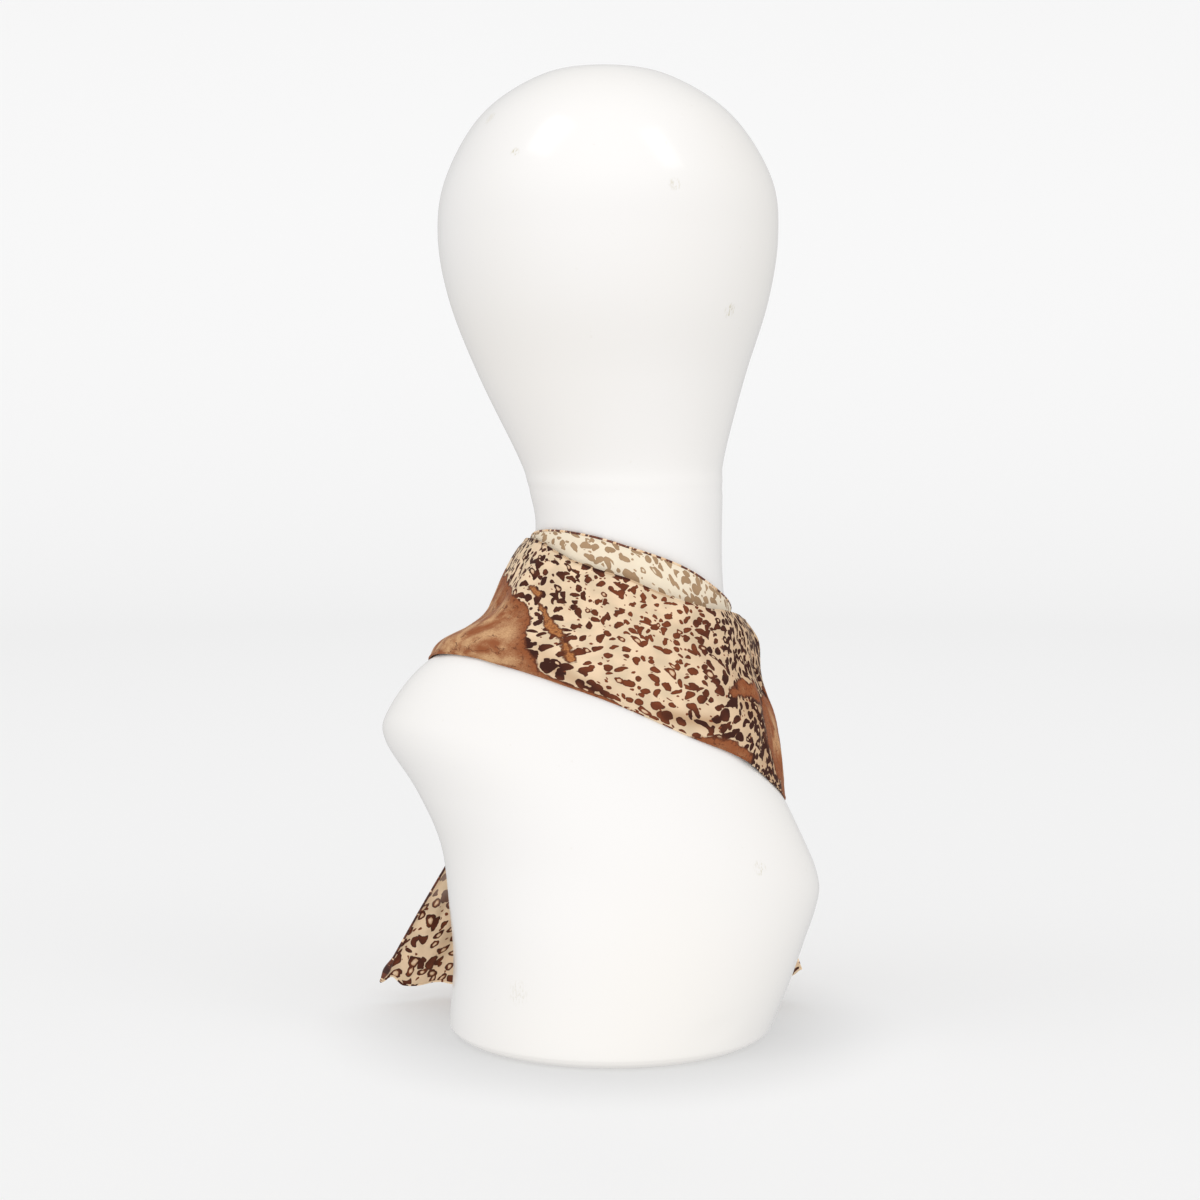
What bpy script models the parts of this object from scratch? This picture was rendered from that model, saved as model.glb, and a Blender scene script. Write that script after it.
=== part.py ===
# A small oblong foulard knotted round the neck of a limbless display head form.
# The form stands on its flat base at the origin. Its front, with the knot and the two tails, faces +Y.
# Tables and sizes are in millimetres; the meshes are in metres.
from collections import namedtuple
from math import pi

import bpy
import numpy as np

MM = 0.001

# The form
FORM_HEIGHT = 506.4  # base to crown
FORM_CROWN_X = -4.0
FORM_CROWN_Y = 3.0
FORM_AROUND = 48  # faces round each ring
FORM_RINGS = 36

# The cloth
CLOTH = 1.2  # wall of the silk, hems and air between its plies included
SEAM = 0.3  # space left where two pieces meet
WRAP_AROUND = 76
WRAP_RINGS = 11
BAND_AROUND = 56
BAND_RINGS = 4
GATHER = 0.62  # share of its height that the wrap loses under the knot
GATHER_REACH = 1.24  # radians to each side of the front
PLEATS = 3  # pleats drawn into the knot from each side
PLEAT_RISE = 1.7
HEM_LIFT = 0.05  # shares of the wrap's height, at the back right
FOLD_DIP = 0.07

# The knot
KNOT_CENTRE = (-3.0, 74.8, 186.0)
KNOT_HALF_WIDTH = 21.0
KNOT_HALF_DEPTH = 12.0
KNOT_HALF_HEIGHT = 16.0
KNOT_TURNS = 3  # strands that show in the knot
KNOT_ROUNDNESS = 2.6  # 2 is an ellipsoid, more is boxier
KNOT_GROOVE = 1.1
KNOT_SLANT = 1.1  # radians that a strand turns from the knot's middle to its top
KNOT_AROUND = 30
KNOT_RINGS = 12

# The tails
TAIL_TOP_Z = KNOT_CENTRE[2] - KNOT_HALF_HEIGHT - SEAM
TAIL_TOP_Y = KNOT_CENTRE[1]
HEM_SAG = 4.0
FOLD_AT_TOP = 0.2  # share of a fold's height that it has under the knot
TAIL_ACROSS = 34
TAIL_DOWN = 12

# A row is one ring: its leftmost and rightmost points, half its depth from back to front, the
# middle of that depth, and how far its front lies below the middle.
Ring = namedtuple("Ring", "left_x left_z right_x right_z half_depth mid_y fore_drop")

FORM_TABLE = [
    Ring(-79.5, 0.0, 79.5, 0.0, 79.5, 0, 0),
    Ring(-84.8, 3.5, 84.6, 3.5, 84.6, 0, 0),
    Ring(-85.4, 10.0, 87.2, 9.0, 85.4, 0, 0),
    Ring(-83.6, 38.0, 95.8, 30.0, 82.5, 0, 0),
    Ring(-85.6, 66.0, 102.4, 49.0, 78.5, 0, 2),
    Ring(-90.0, 100.0, 108.0, 64.5, 74.0, 1, 5),
    Ring(-102.6, 128.7, 110.4, 76.0, 70.0, 1, 10),
    Ring(-119.0, 155.0, 108.6, 86.0, 65.5, 1, 16),
    Ring(-117.6, 170.5, 104.4, 96.5, 62.5, 1, 19),
    Ring(-98.9, 194.2, 93.3, 119.5, 57.5, 0, 22),
    Ring(-68.5, 212.0, 77.5, 149.0, 51.0, -1, 21),
    Ring(-49.0, 236.0, 64.6, 189.0, 47.0, -2, 15),
    Ring(-39.6, 266.0, 58.4, 241.0, 45.5, -3, 7),
    Ring(-43.4, 290.0, 58.2, 287.0, 46.5, -2, 1),
    Ring(-48.6, 305.0, 59.2, 305.0, 51.0, 2, 0),
    Ring(-69.0, 346.3, 70.0, 346.3, 70.0, 8, 0),
    Ring(-84.4, 385.5, 82.0, 385.5, 86.0, 9, 0),
    Ring(-90.3, 420.0, 86.9, 420.0, 91.0, 8, 0),
    Ring(-85.6, 450.0, 82.8, 450.0, 87.5, 6, 0),
    Ring(-66.5, 482.0, 61.5, 482.0, 66.5, 4, 0),
    Ring(-35.5, 502.0, 28.5, 502.0, 33.0, 3, 0),
]

# The outer wrap, from its lower hem on the shoulders to its upper fold round the neck
WRAP_TABLE = [
    Ring(-96.0, 198.4, 92.2, 124.4, 60.4, 0, 23),
    Ring(-91.5, 206.0, 90.8, 138.0, 60.6, 0, 22.5),
    Ring(-80.5, 213.5, 88.8, 154.5, 60.4, 0, 21),
    Ring(-69.5, 221.0, 86.0, 170.0, 59.6, 0, 19),
    Ring(-61.5, 231.0, 82.6, 184.5, 58.0, 0, 16.5),
    Ring(-55.5, 243.0, 79.6, 197.5, 56.0, -1, 13.5),
    Ring(-50.2, 253.5, 76.6, 209.0, 54.0, -1, 11),
    Ring(-44.6, 261.5, 70.0, 218.5, 52.4, -1, 9),
]

# The inner ply, a band that stands higher than the outer wrap at the nape
BAND_TABLE = [
    Ring(-49.4, 243.0, 67.6, 190.0, 50.4, -2, 15),
    Ring(-43.4, 255.0, 63.8, 208.0, 48.8, -2, 16),
    Ring(-41.9, 262.0, 62.4, 225.5, 48.6, -2, 17),
]

# Soft ridges of the outer wrap: where each meets the lower hem and the upper fold, in degrees from
# +X towards the front, and its half width in degrees and height in millimetres
Ridge = namedtuple("Ridge", "hem_at fold_at half_width rise")

RIDGE_TABLE = [
    Ridge(-158, -136, 9, 2.4),
    Ridge(-128, -112, 8, 2.0),
    Ridge(-104, -62, 7, 1.4),
    Ridge(-38, -24, 8, 2.2),
    Ridge(-16, -6, 7, 2.6),
    Ridge(10, 4, 8, 2.4),
    Ridge(36, 28, 8, 2.6),
    Ridge(146, 152, 8, 2.6),
    Ridge(172, 176, 8, 2.2),
]


def clear_scene():
    for thing in list(bpy.data.objects):
        bpy.data.objects.remove(thing, do_unlink=True)


def make_material(name, colour, roughness, metallic=0.0):
    material = bpy.data.materials.new(name)
    material.use_nodes = True
    shader = material.node_tree.nodes["Principled BSDF"]
    shader.inputs["Base Color"].default_value = (*colour, 1.0)
    shader.inputs["Roughness"].default_value = roughness
    shader.inputs["Metallic"].default_value = metallic
    return material


def as_columns(table):
    """Rows of middle, halves and drops: mid_x, mid_z, half_width, across_drop, half_depth, mid_y, fore_drop."""
    rows = []
    for ring in table:
        rows.append((
            (ring.left_x + ring.right_x) / 2,
            (ring.left_z + ring.right_z) / 2,
            (ring.right_x - ring.left_x) / 2,
            (ring.left_z - ring.right_z) / 2,
            ring.half_depth,
            ring.mid_y,
            ring.fore_drop,
        ))
    return np.array(rows)


def between_rows(rows, at):
    """A smooth curve through the rows, one row for each unit of at."""
    low = np.clip(np.floor(at).astype(int), 0, len(rows) - 2)
    part = (at - low)[..., None]
    before = rows[np.maximum(low - 1, 0)]
    start = rows[low]
    end = rows[low + 1]
    after = rows[np.minimum(low + 2, len(rows) - 1)]
    rise = (end - before) / 2
    fall = (after - start) / 2
    return (
        start * (1 + 2 * part) * (1 - part) ** 2
        + rise * part * (1 - part) ** 2
        + end * part ** 2 * (3 - 2 * part)
        + fall * part ** 2 * (part - 1)
    )


def on_ring(rows, angles, swell=0.0):
    """The point of each row's ring at each angle, pushed out by swell."""
    mid_x, mid_z, half_width, across, half_depth, mid_y, fore = np.moveaxis(rows, -1, 0)
    cosine = np.cos(angles)
    sine = np.sin(angles)
    x = mid_x + (half_width + swell) * cosine
    y = mid_y + (half_depth + swell) * sine
    z = mid_z - across * cosine - fore * sine
    return np.stack([x, y, z], axis=-1)


def grid_mesh(name, points, closed_round):
    """A mesh of four-sided faces between neighbouring rows of points."""
    rows, columns, _ = points.shape
    number = np.arange(rows * columns).reshape(rows, columns)
    if closed_round:
        number = np.concatenate([number, number[:, :1]], axis=1)
    faces = np.stack(
        [number[:-1, :-1], number[:-1, 1:], number[1:, 1:], number[1:, :-1]], axis=-1
    ).reshape(-1, 4)
    mesh = bpy.data.meshes.new(name)
    mesh.from_pydata((points.reshape(-1, 3) * MM).tolist(), [], faces.tolist())
    return mesh


def add_object(name, mesh, material, collection):
    mesh.materials.append(material)
    mesh.shade_smooth()
    thing = bpy.data.objects.new(name, mesh)
    collection.objects.link(thing)
    return thing


def add_cloth(name, points, closed_round, material, collection):
    """An open surface given the thickness of the cloth, half of it to each side."""
    cloth = add_object(name, grid_mesh(name, points, closed_round), material, collection)
    wall = cloth.modifiers.new("wall", "SOLIDIFY")
    wall.thickness = CLOTH * MM
    wall.offset = 0.0
    return cloth


def even_angles(count):
    return np.arange(count) * 2 * pi / count - pi


def soft_bump(distance, half_width):
    """1 at no distance, falling smoothly to 0 at the half width."""
    share = np.clip(np.abs(distance) / half_width, 0, 1)
    return (1 + np.cos(pi * share)) / 2


def from_angle(angles, other):
    """The signed turn from one angle to the other, the short way round."""
    return (angles - other + pi) % (2 * pi) - pi


def build_form(material, collection):
    """The bust, neck and smooth head, one loft through tilted rings with a flat base and a round crown."""
    rows = as_columns(FORM_TABLE)
    crown = np.array([FORM_CROWN_X, FORM_HEIGHT, 0, 0, 0, FORM_CROWN_Y, 0])
    past_crown = rows[-1] * (1, 1, -1, -1, -1, 1, -1)
    rows = np.vstack([rows, crown, past_crown])
    steps = np.linspace(0, len(FORM_TABLE) - 0.3, FORM_RINGS)
    points = on_ring(between_rows(rows, steps)[:, None], even_angles(FORM_AROUND)[None, :])
    mesh = grid_mesh("display_form", points, True)
    middle = len(mesh.vertices)
    top = middle - FORM_AROUND
    vertices = [tuple(v.co) for v in mesh.vertices]
    vertices.append((FORM_CROWN_X * MM, FORM_CROWN_Y * MM, FORM_HEIGHT * MM))
    faces = [tuple(face.vertices) for face in mesh.polygons]
    faces.append(tuple(reversed(range(FORM_AROUND))))
    for i in range(FORM_AROUND):
        faces.append((top + i, top + (i + 1) % FORM_AROUND, middle))
    whole = bpy.data.meshes.new("display_form")
    whole.from_pydata(vertices, [], faces)
    bpy.data.meshes.remove(mesh)
    return add_object("display_form", whole, material, collection)


def wrap_height(angles, share):
    """Where on the wrap's table each point lies: the cloth is drawn together towards the knot."""
    gather = GATHER * soft_bump(from_angle(angles, pi / 2), GATHER_REACH)
    hem_lift = HEM_LIFT * soft_bump(from_angle(angles, -0.72), 0.5)
    fold_dip = FOLD_DIP * soft_bump(from_angle(angles, -1.0), 0.4)
    low = 0.5 * gather + hem_lift
    high = 1 - 0.5 * gather - fold_dip
    return low + (high - low) * share


def wrap_rise(angles, share):
    """How far the cloth stands off its plain ring: the slanting ridges, and the pleats near the knot."""
    pull = soft_bump(from_angle(angles, pi / 2), GATHER_REACH)
    rise = PLEAT_RISE * pull * (1 - np.cos(2 * pi * PLEATS * share))
    for ridge in RIDGE_TABLE:
        middle = np.radians(ridge.hem_at + (ridge.fold_at - ridge.hem_at) * share)
        crest = soft_bump(from_angle(angles, middle), np.radians(ridge.half_width))
        rise = rise + ridge.rise * np.sin(pi * (0.1 + 0.8 * share)) * crest
    return rise


def build_wrap(material, collection):
    """The outer ply, a flared tube round the neck with slanting ridges, pleated into the knot at the front."""
    rows = as_columns(WRAP_TABLE)
    angles = even_angles(WRAP_AROUND)[None, :]
    share = np.linspace(0, 1, WRAP_RINGS + 1)[:, None]
    here = between_rows(rows, wrap_height(angles, share) * (len(rows) - 1))
    points = on_ring(here, angles, wrap_rise(angles, share))
    return add_cloth("wrap_outer", points, True, material, collection)


def build_band(material, collection):
    """The inner ply, standing higher than the wrap at the nape and hidden inside it at the front."""
    rows = as_columns(BAND_TABLE)
    steps = np.linspace(0, len(rows) - 1, BAND_RINGS + 1)
    points = on_ring(between_rows(rows, steps)[:, None], even_angles(BAND_AROUND)[None, :])
    return add_cloth("wrap_inner", points, True, material, collection)


def build_knot(material, collection):
    """A tied lump: a rounded box with slanting grooves between the strands that show."""
    polar = np.linspace(0, pi, KNOT_RINGS + 1)[1:-1, None]
    turn = even_angles(KNOT_AROUND)[None, :]
    x = np.sin(polar) * np.cos(turn)
    y = np.sin(polar) * np.sin(turn)
    z = -np.cos(polar) * np.ones_like(turn)
    size = (np.abs(x) ** KNOT_ROUNDNESS + np.abs(y) ** KNOT_ROUNDNESS + np.abs(z) ** KNOT_ROUNDNESS)
    reach = size ** (-1 / KNOT_ROUNDNESS)
    strand = np.cos(KNOT_TURNS * (turn + KNOT_SLANT * z)) ** 8
    groove = 1 - KNOT_GROOVE / KNOT_HALF_DEPTH * strand * np.sin(polar)
    half = np.array([KNOT_HALF_WIDTH, KNOT_HALF_DEPTH, KNOT_HALF_HEIGHT])
    points = np.stack([x, y, z], axis=-1) * (reach * groove)[..., None] * half + KNOT_CENTRE
    mesh = grid_mesh("knot", points, True)
    vertices = [tuple(v.co) for v in mesh.vertices]
    bottom = len(vertices)
    for side in (-1, 1):
        vertices.append((
            KNOT_CENTRE[0] * MM,
            KNOT_CENTRE[1] * MM,
            (KNOT_CENTRE[2] + side * KNOT_HALF_HEIGHT) * MM,
        ))
    faces = [tuple(face.vertices) for face in mesh.polygons]
    last = bottom - KNOT_AROUND
    for i in range(KNOT_AROUND):
        following = (i + 1) % KNOT_AROUND
        faces.append((following, i, bottom))
        faces.append((last + i, last + following, bottom + 1))
    whole = bpy.data.meshes.new("knot")
    whole.from_pydata(vertices, [], faces)
    bpy.data.meshes.remove(mesh)
    return add_object("knot", whole, material, collection)


# A tail: its two edges under the knot, its end's inner and outer corners, and how its folds are spread
Tail = namedtuple("Tail", "name top_inner_x top_outer_x end_inner end_outer fold_pitch")

TAIL_TABLE = [
    Tail("tail_left", -5.0, -22.0, (-9.0, 88.0, 6.0), (-127.5, 58.0, 11.5), 1.0),
    Tail("tail_right", -1.0, 16.0, (3.0, 88.0, 6.0), (106.0, 62.0, 18.5), 0.9),
]

# The folds of a tail, across from its inner edge, as shares of its width, and their height
Fold = namedtuple("Fold", "at half_width rise")

FOLD_TABLE = [
    Fold(0.10, 0.09, 7.5),
    Fold(0.30, 0.11, 10.5),
    Fold(0.53, 0.10, 8.0),
    Fold(0.75, 0.09, 4.5),
    Fold(0.98, 0.08, 2.5),
]


def build_tail(tail, material, collection):
    """A fan of soft pleats, narrow under the knot and as wide as its end hem at the bottom."""
    across = np.linspace(0, 1, TAIL_ACROSS + 1)[None, :]
    down = np.linspace(0, 1, TAIL_DOWN + 1)[:, None]
    top_x = tail.top_inner_x + (tail.top_outer_x - tail.top_inner_x) * across
    end_x = tail.end_inner[0] + (tail.end_outer[0] - tail.end_inner[0]) * across
    end_z = tail.end_inner[2] + (tail.end_outer[2] - tail.end_inner[2]) * across
    x = top_x + (end_x - top_x) * down ** 0.9
    z = TAIL_TOP_Z + (end_z - TAIL_TOP_Z) * down - HEM_SAG * np.sin(pi * across) * down ** 2
    round_chest = tail.end_inner[1] + (tail.end_outer[1] - tail.end_inner[1]) * across ** 1.6
    y = TAIL_TOP_Y + (round_chest - TAIL_TOP_Y) * down ** 0.8
    for fold in FOLD_TABLE:
        crest = soft_bump(across - fold.at * tail.fold_pitch, fold.half_width)
        y = y + crest * fold.rise * (FOLD_AT_TOP + (1 - FOLD_AT_TOP) * down)
    points = np.stack(np.broadcast_arrays(x, y, z), axis=-1)
    if tail.end_outer[0] > tail.end_inner[0]:
        points = points[:, ::-1]
    return add_cloth(tail.name, points, False, material, collection)


def main():
    clear_scene()
    collection = bpy.data.collections.new("foulard_on_display_form")
    bpy.context.scene.collection.children.link(collection)
    gloss = make_material("form_gloss", (0.88, 0.88, 0.87), 0.16)
    silk = make_material("silk_outer", (0.62, 0.45, 0.30), 0.55)
    reverse = make_material("silk_reverse", (0.74, 0.66, 0.55), 0.60)
    build_form(gloss, collection)
    build_band(reverse, collection)
    build_wrap(silk, collection)
    build_knot(silk.copy(), collection)
    for tail in TAIL_TABLE:
        build_tail(tail, silk.copy(), collection)


main()
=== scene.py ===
import bpy
import numpy as np
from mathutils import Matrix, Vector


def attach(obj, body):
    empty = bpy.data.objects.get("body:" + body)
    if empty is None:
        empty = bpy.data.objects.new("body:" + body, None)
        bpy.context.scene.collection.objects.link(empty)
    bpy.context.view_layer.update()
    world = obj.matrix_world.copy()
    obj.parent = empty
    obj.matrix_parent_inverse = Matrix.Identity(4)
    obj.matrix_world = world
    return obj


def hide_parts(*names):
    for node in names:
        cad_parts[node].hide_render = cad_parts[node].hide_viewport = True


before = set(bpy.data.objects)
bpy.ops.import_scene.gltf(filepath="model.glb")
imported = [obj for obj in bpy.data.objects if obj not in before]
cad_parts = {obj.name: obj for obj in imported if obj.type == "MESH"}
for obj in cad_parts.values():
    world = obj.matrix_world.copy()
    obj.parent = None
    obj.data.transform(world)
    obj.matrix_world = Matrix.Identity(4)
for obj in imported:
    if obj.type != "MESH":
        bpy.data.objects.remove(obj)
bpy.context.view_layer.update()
print("frame loaded")

mm = 0.001
front = np.pi / 2  # the angle round the neck where the knot is


# A picture value from 0 to 255 as the linear colour that a shader takes
def tint(red, green, blue):
    share = np.array([red, green, blue]) / 255
    linear = np.where(share <= 0.04045, share / 12.92, ((share + 0.055) / 1.055) ** 2.4)
    return (*linear.tolist(), 1.0)


# Smooth curve through a table's rows: cubic between two rows, its slopes from their neighbours
def betweenRows(rows, at):
    low = np.clip(np.floor(at).astype(int), 0, len(rows) - 2)
    part = (at - low)[..., None]
    before, start = rows[np.maximum(low - 1, 0)], rows[low]
    end, after = rows[low + 1], rows[np.minimum(low + 2, len(rows) - 1)]
    rise, fall = (end - before) / 2, (after - start) / 2
    return (
        start * (1 + 2 * part) * (1 - part) ** 2 + rise * part * (1 - part) ** 2
        + end * part ** 2 * (3 - 2 * part) + fall * part ** 2 * (part - 1)
    )


# Rows of leftX, leftZ, rightX, rightZ, halfDepth, midY, foreDrop as rows of middles, halves and drops
def asRings(table):
    leftX, leftZ, rightX, rightZ, halfDepth, midY, foreDrop = np.array(table, float).T
    return np.stack([
        (leftX + rightX) / 2, (leftZ + rightZ) / 2, (rightX - leftX) / 2, (leftZ - rightZ) / 2,
        halfDepth, midY, foreDrop,
    ], axis=-1)


# A tilted ring's point: its middle, half width times cosine and half depth times sine of the angle,
# both pushed out by swell, less the side drop times cosine and the front drop times sine
def onRing(rings, angles, swell=0.0):
    midX, midZ, halfWidth, sideDrop, halfDepth, midY, foreDrop = np.moveaxis(rings, -1, 0)
    cosine, sine = np.cos(angles), np.sin(angles)
    return np.stack([
        midX + (halfWidth + swell) * cosine,
        midY + (halfDepth + swell) * sine,
        midZ - sideDrop * cosine - foreDrop * sine,
    ], axis=-1)


# 1 at no distance, falling along a cosine to 0 at the half width
def softBump(distance, halfWidth):
    return (1 + np.cos(np.pi * np.clip(np.abs(distance) / halfWidth, 0, 1))) / 2


# 0 before the start, 1 after the end, and three squares less two cubes of the share between them
def softStep(value, start, end):
    share = np.clip((value - start) / (end - start), 0, 1)
    return share * share * (3 - 2 * share)


# The signed turn from one angle to another, the short way round
def fromAngle(angles, other):
    return (angles - other + np.pi) % (2 * np.pi) - np.pi


# Even steps round a full turn, from half a turn back
def roundAngles(count):
    return np.arange(count) * 2 * np.pi / count - np.pi


# A grid of points as four-sided faces, the last column joined to the first on a tube. plan is each
# corner's place on the flat cloth in mm, with one column more on a tube. poles close the first and last row,
# and looped joins the last row to the first, where plan has one row more.
def gridPiece(name, points, plan, tube=False, turned=False, looped=False, poles=(), values=None):
    rows, columns = points.shape[:2]
    number = np.arange(rows * columns).reshape(rows, columns)
    corner = np.arange(plan.shape[0] * plan.shape[1]).reshape(plan.shape[:2])
    if looped:
        number = np.concatenate([number, number[:1]])
    if tube:
        number = np.concatenate([number, number[:, :1]], axis=1)
    order = [3, 2, 1, 0] if turned else [0, 1, 2, 3]

    def quads(grid):
        four = np.stack([grid[:-1, :-1], grid[:-1, 1:], grid[1:, 1:], grid[1:, :-1]], axis=-1)
        return four.reshape(-1, 4)[:, order]

    vertices = points.reshape(-1, 3) * mm
    flat = plan.reshape(-1, 2)
    faces = quads(number).tolist()
    mapped = flat[quads(corner)].reshape(-1, 2)
    for end, pole in zip((0, rows - 1), poles):
        last = len(vertices)
        vertices = np.vstack([vertices, np.array(pole) * mm])
        pair = np.stack([number[end, :-1], number[end, 1:]], axis=-1)
        pairPlan = np.stack([corner[end, :-1], corner[end, 1:]], axis=-1)
        if (end == 0) != turned:
            pair, pairPlan = pair[:, ::-1], pairPlan[:, ::-1]
        faces += np.column_stack([pair, np.full(len(pair), last)]).tolist()
        middle = flat[pairPlan].mean(axis=1, keepdims=True)
        mapped = np.vstack([mapped, np.concatenate([flat[pairPlan], middle], axis=1).reshape(-1, 2)])
    mesh = bpy.data.meshes.new(name)
    mesh.from_pydata(vertices.tolist(), [], faces)
    mesh.uv_layers.new(name="clothMap").data.foreach_set("uv", mapped.astype(np.float32).ravel())
    for key, value in (values or {}).items():
        padded = np.append(np.broadcast_to(value, (rows, columns)).ravel(), [0.0] * len(poles))
        mesh.attributes.new(key, "FLOAT", "POINT").data.foreach_set("value", padded.astype(np.float32))
    mesh.shade_smooth()
    piece = bpy.data.objects.new(name, mesh)
    bpy.context.scene.collection.objects.link(piece)
    return piece


# The plan of a grid: two lengths on the cloth, spread over the whole grid, with the closing column of a tube
def planOf(along, across, closing=None):
    along, across = np.broadcast_arrays(along, across)
    if closing is not None:
        along = np.concatenate([along, along[:, :1] + closing], axis=1)
        across = np.concatenate([across, across[:, :1]], axis=1)
    return np.stack([along, across], axis=-1)


# A rolled hem: a small circle carried along a path, its centre the path's point and its plane square to it.
# along is the cloth's length at each point of the path; closing is the cloth's length all round a closed one.
def rolledHem(name, path, radius, along=None, closing=None, facing=(0, 0, 1), across=0.0, values=None):
    sides = 10
    if closing is None:
        steps = np.gradient(path, axis=0)
    else:
        steps = np.roll(path, -1, axis=0) - np.roll(path, 1, axis=0)
    tangent = steps / np.linalg.norm(steps, axis=1, keepdims=True)
    side = np.cross(tangent, np.broadcast_to(facing, path.shape))
    side /= np.linalg.norm(side, axis=1, keepdims=True)
    up = np.cross(tangent, side)
    turn = roundAngles(sides)[None, :, None]
    radius = np.broadcast_to(radius, len(path))[:, None, None]
    points = path[:, None] + radius * (np.cos(turn) * side[:, None] + np.sin(turn) * up[:, None])
    if along is None:
        along = np.append(0.0, np.cumsum(np.linalg.norm(np.diff(path, axis=0), axis=1)))
    around = across + np.linspace(0, 2 * np.pi, sides + 1)[None, :] * float(np.mean(radius))
    if closing is None:
        poles = (path[0] - tangent[0] * radius[0, 0] * 0.6, path[-1] + tangent[-1] * radius[-1, 0] * 0.6)
        return gridPiece(name, points, planOf(along[:, None], around), tube=True, poles=poles, values=values)
    plan = planOf(np.append(along, along[0] + closing)[None, :], around.T)
    if values:
        values = {key: np.broadcast_to(value, (1, len(path))) for key, value in values.items()}
    return gridPiece(name, points.swapaxes(0, 1), plan, tube=True, turned=True, looped=True, values=values)


# A wall for a cloth surface, half of it to each side
def giveWall(piece, thickness):
    wall = piece.modifiers.new("wall", "SOLIDIFY")
    wall.thickness = thickness * mm
    wall.offset = 0.0
    return piece


# One socket of a material as a number: each operator adds the Math node that it stands for
class Wire:
    def __init__(self, tree, socket):
        self.tree, self.socket = tree, socket

    # A node of a kind: its settings first, then a value or a wire for each of its sockets
    def node(self, kind, settings=None, sockets=None, output=0):
        made = self.tree.nodes.new(kind)
        for key, value in (settings or {}).items():
            setattr(made, key, value)
        for key, value in (sockets or {}).items():
            if isinstance(value, Wire):
                self.tree.links.new(value.socket, made.inputs[key])
            else:
                made.inputs[key].default_value = value
        return Wire(self.tree, made.outputs[output])

    # Another output of the same node
    def out(self, name):
        return Wire(self.tree, self.socket.node.outputs[name])

    def math(self, operation, first, second=0.0):
        return self.node("ShaderNodeMath", {"operation": operation}, {0: first, 1: second})

    # Output 0 is the vector, 1 the number of operations that give one
    def vector(self, operation, first, second, output=0):
        return self.node("ShaderNodeVectorMath", {"operation": operation}, {0: first, 1: second}, output)

    # first where share is 0 and second where it is 1, for colours
    def mix(self, share, first, second, way="MIX"):
        return self.node(
            "ShaderNodeMix", {"data_type": "RGBA", "blend_type": way}, {0: share, 6: first, 7: second}, 2
        )

    # 0 before the start, 1 after the end, soft between them
    def step(self, start, end):
        return self.node(
            "ShaderNodeMapRange", {"interpolation_type": "SMOOTHSTEP"}, {0: self, 1: start, 2: end}
        )

    # Noise from 0 to 1 at this place
    def noise(self, scale, detail=1.0, rough=0.5):
        return self.node(
            "ShaderNodeTexNoise", {"noise_dimensions": "3D"},
            {"Vector": self, "Scale": scale, "Detail": detail, "Roughness": rough},
        )

    # This height as a bump that is a distance high, in mm
    def bump(self, strength, distance):
        return self.node("ShaderNodeBump", {}, {"Strength": strength, "Distance": distance * mm, "Height": self})

    # This place's x, with its Y and Z as the other outputs
    def axes(self):
        return self.node("ShaderNodeSeparateXYZ", {}, {0: self})

    def __add__(self, other):
        return self.math("ADD", self, other)

    def __sub__(self, other):
        return self.math("SUBTRACT", self, other)

    def __rsub__(self, other):
        return self.math("SUBTRACT", other, self)

    def __mul__(self, other):
        return self.math("MULTIPLY", self, other)

    def __truediv__(self, other):
        return self.math("DIVIDE", self, other)

    __radd__ = __add__
    __rmul__ = __mul__


# A material with its shader's plain sockets set, and a wire for the place on the piece
def newFinish(name, fixed):
    material = bpy.data.materials.new(name)
    material.use_nodes = True
    tree = material.node_tree
    shader = tree.nodes["Principled BSDF"]
    for key, value in fixed.items():
        shader.inputs[key].default_value = value
    coordinates = tree.nodes.new("ShaderNodeTexCoord")
    return material, shader, Wire(tree, coordinates.outputs["Object"])


# Each named socket of a shader gets its wire
def feed(shader, **wires):
    for key, wire in wires.items():
        wire.tree.links.new(wire.socket, shader.inputs[key])


formSizes = {
    "height": 506.4, "crownX": -4.0, "crownY": 3.0,
    "around": 200, "rings": 220,
    "neckCreaseAt": 289.0, "neckCreaseWidth": 2.4, "neckCreaseDepth": 0.35,
    "dentAngle": -0.95, "dentReach": 0.22, "dentAt": 17.0, "dentHeight": 11.0, "dentDepth": 0.5,
    "girth": 80.0, "shortOfCrown": 0.02,
}
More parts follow.
